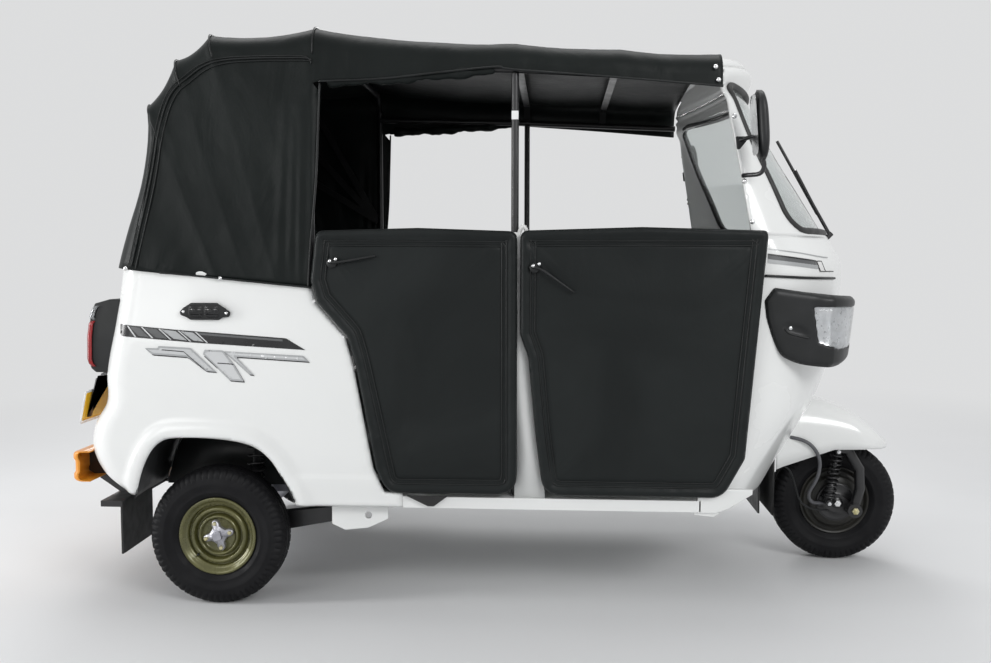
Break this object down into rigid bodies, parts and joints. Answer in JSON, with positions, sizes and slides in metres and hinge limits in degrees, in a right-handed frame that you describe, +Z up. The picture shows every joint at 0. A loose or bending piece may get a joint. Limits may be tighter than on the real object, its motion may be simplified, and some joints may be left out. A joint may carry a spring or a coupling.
{
  "type": "auto rickshaw",
  "caption": "Three-wheeled passenger auto rickshaw with white steel body, black vinyl folding top, soft half doors, one steered front wheel and orange rear bumper.",
  "frame": {"origin": "on the ground under the middle of the length between the rear bumper and the front tyre, on the centre plane", "axes": "+X forward, +Y to the vehicle's left, +Z up"},
  "size_m": [2.646, 1.456, 1.7398],
  "materials": {
    "black_paint": "semi_gloss",
    "black_plastic": "textured",
    "black_vinyl": "semi_gloss",
    "cast_metal": "cast",
    "clear_glass": "clear",
    "olive_paint": "gloss",
    "orange_paint": "gloss",
    "seal_rubber": "matte",
    "tyre_rubber": "matte",
    "white_paint": "gloss",
    "yellow_sheet": "gloss"
  },
  "bodies": {
    "body": {"bumper_brackets": "black_paint", "canopy": "black_vinyl", "canopy_frame": "black_paint", "centre_pillars": "white_paint", "chassis_frame": "black_paint", "dashboard": "black_plastic", "door_hinges": "black_paint", "drive_shafts": "cast_metal", "driver_seat": "black_vinyl", "driver_seat_stand": "black_paint", "engine": "cast_metal", "floor_pan": "white_paint", "front_cowl": "white_paint", "front_fender": "white_paint", "headlamp_pods": "black_plastic", "mirrors": "black_plastic", "mudflaps": "seal_rubber", "number_plate": "yellow_sheet", "passenger_seat": "black_vinyl", "rear_bumper": "orange_paint", "rear_dampers": "black_paint", "rear_panel": "white_paint", "rear_side_left": "white_paint", "rear_side_right": "white_paint", "seat_box": "black_paint", "side_vents": "black_plastic", "sill_brackets": "white_paint", "step_pads": "seal_rubber", "tail_lamps": "black_plastic", "trailing_arms": "black_paint", "windscreen_frame": "white_paint", "windscreen_glass": "clear_glass", "windscreen_seal": "seal_rubber", "wiper": "black_paint"},
    "steering": {"steering_column": "black_paint", "front_swing_arm": "black_paint", "front_damper": "black_paint", "handlebar": "black_paint"},
    "front_wheel": {"front_rim": "olive_paint", "front_tyre": "tyre_rubber"},
    "rear_wheel_left": {"rear_left_rim": "olive_paint", "rear_left_tyre": "tyre_rubber"},
    "rear_wheel_right": {"rear_right_rim": "olive_paint", "rear_right_tyre": "tyre_rubber"},
    "door_front_left": {"front_door_left": "black_vinyl"},
    "door_front_right": {"front_door_right": "black_vinyl"},
    "door_rear_left": {"rear_door_left": "black_vinyl"},
    "door_rear_right": {"rear_door_right": "black_vinyl"},
    "lid": {"engine_lid": "white_paint"}
  },
  "joints": [
    {"name": "steer", "type": "hinge", "parent": "body", "child": "steering", "pos_m": [0.92768, 0, 0.7], "axis": [-0.3746, 0, 0.9272], "range_deg": [-40, 40]},
    {"name": "front_wheel_spin", "type": "hinge", "parent": "steering", "child": "front_wheel", "pos_m": [1.1155, 0, 0.2075], "axis": [0, 1, 0], "continuous": true},
    {"name": "rear_left_wheel_spin", "type": "hinge", "parent": "body", "child": "rear_wheel_left", "pos_m": [-0.8695, 0.575, 0.2075], "axis": [0, 1, 0], "continuous": true},
    {"name": "rear_right_wheel_spin", "type": "hinge", "parent": "body", "child": "rear_wheel_right", "pos_m": [-0.8695, -0.575, 0.2075], "axis": [0, 1, 0], "continuous": true},
    {"name": "front_left_door_swing", "type": "hinge", "parent": "body", "child": "door_front_left", "pos_m": [0.70525, 0.65, 0.8], "axis": [-0.0828, 0, -0.9966], "range_deg": [0, 75]},
    {"name": "front_right_door_swing", "type": "hinge", "parent": "body", "child": "door_front_right", "pos_m": [0.70525, -0.65, 0.8], "axis": [0.0828, 0, 0.9966], "range_deg": [0, 75]},
    {"name": "rear_left_door_swing", "type": "hinge", "parent": "body", "child": "door_rear_left", "pos_m": [0.024, 0.65, 0.8], "axis": [0, 0, -1], "range_deg": [0, 80]},
    {"name": "rear_right_door_swing", "type": "hinge", "parent": "body", "child": "door_rear_right", "pos_m": [0.024, -0.65, 0.8], "axis": [0, 0, 1], "range_deg": [0, 80]},
    {"name": "engine_lid_lift", "type": "hinge", "parent": "body", "child": "lid", "pos_m": [-1.174, 0, 0.962], "axis": [0, 1, 0], "range_deg": [0, 70]}
  ]
}
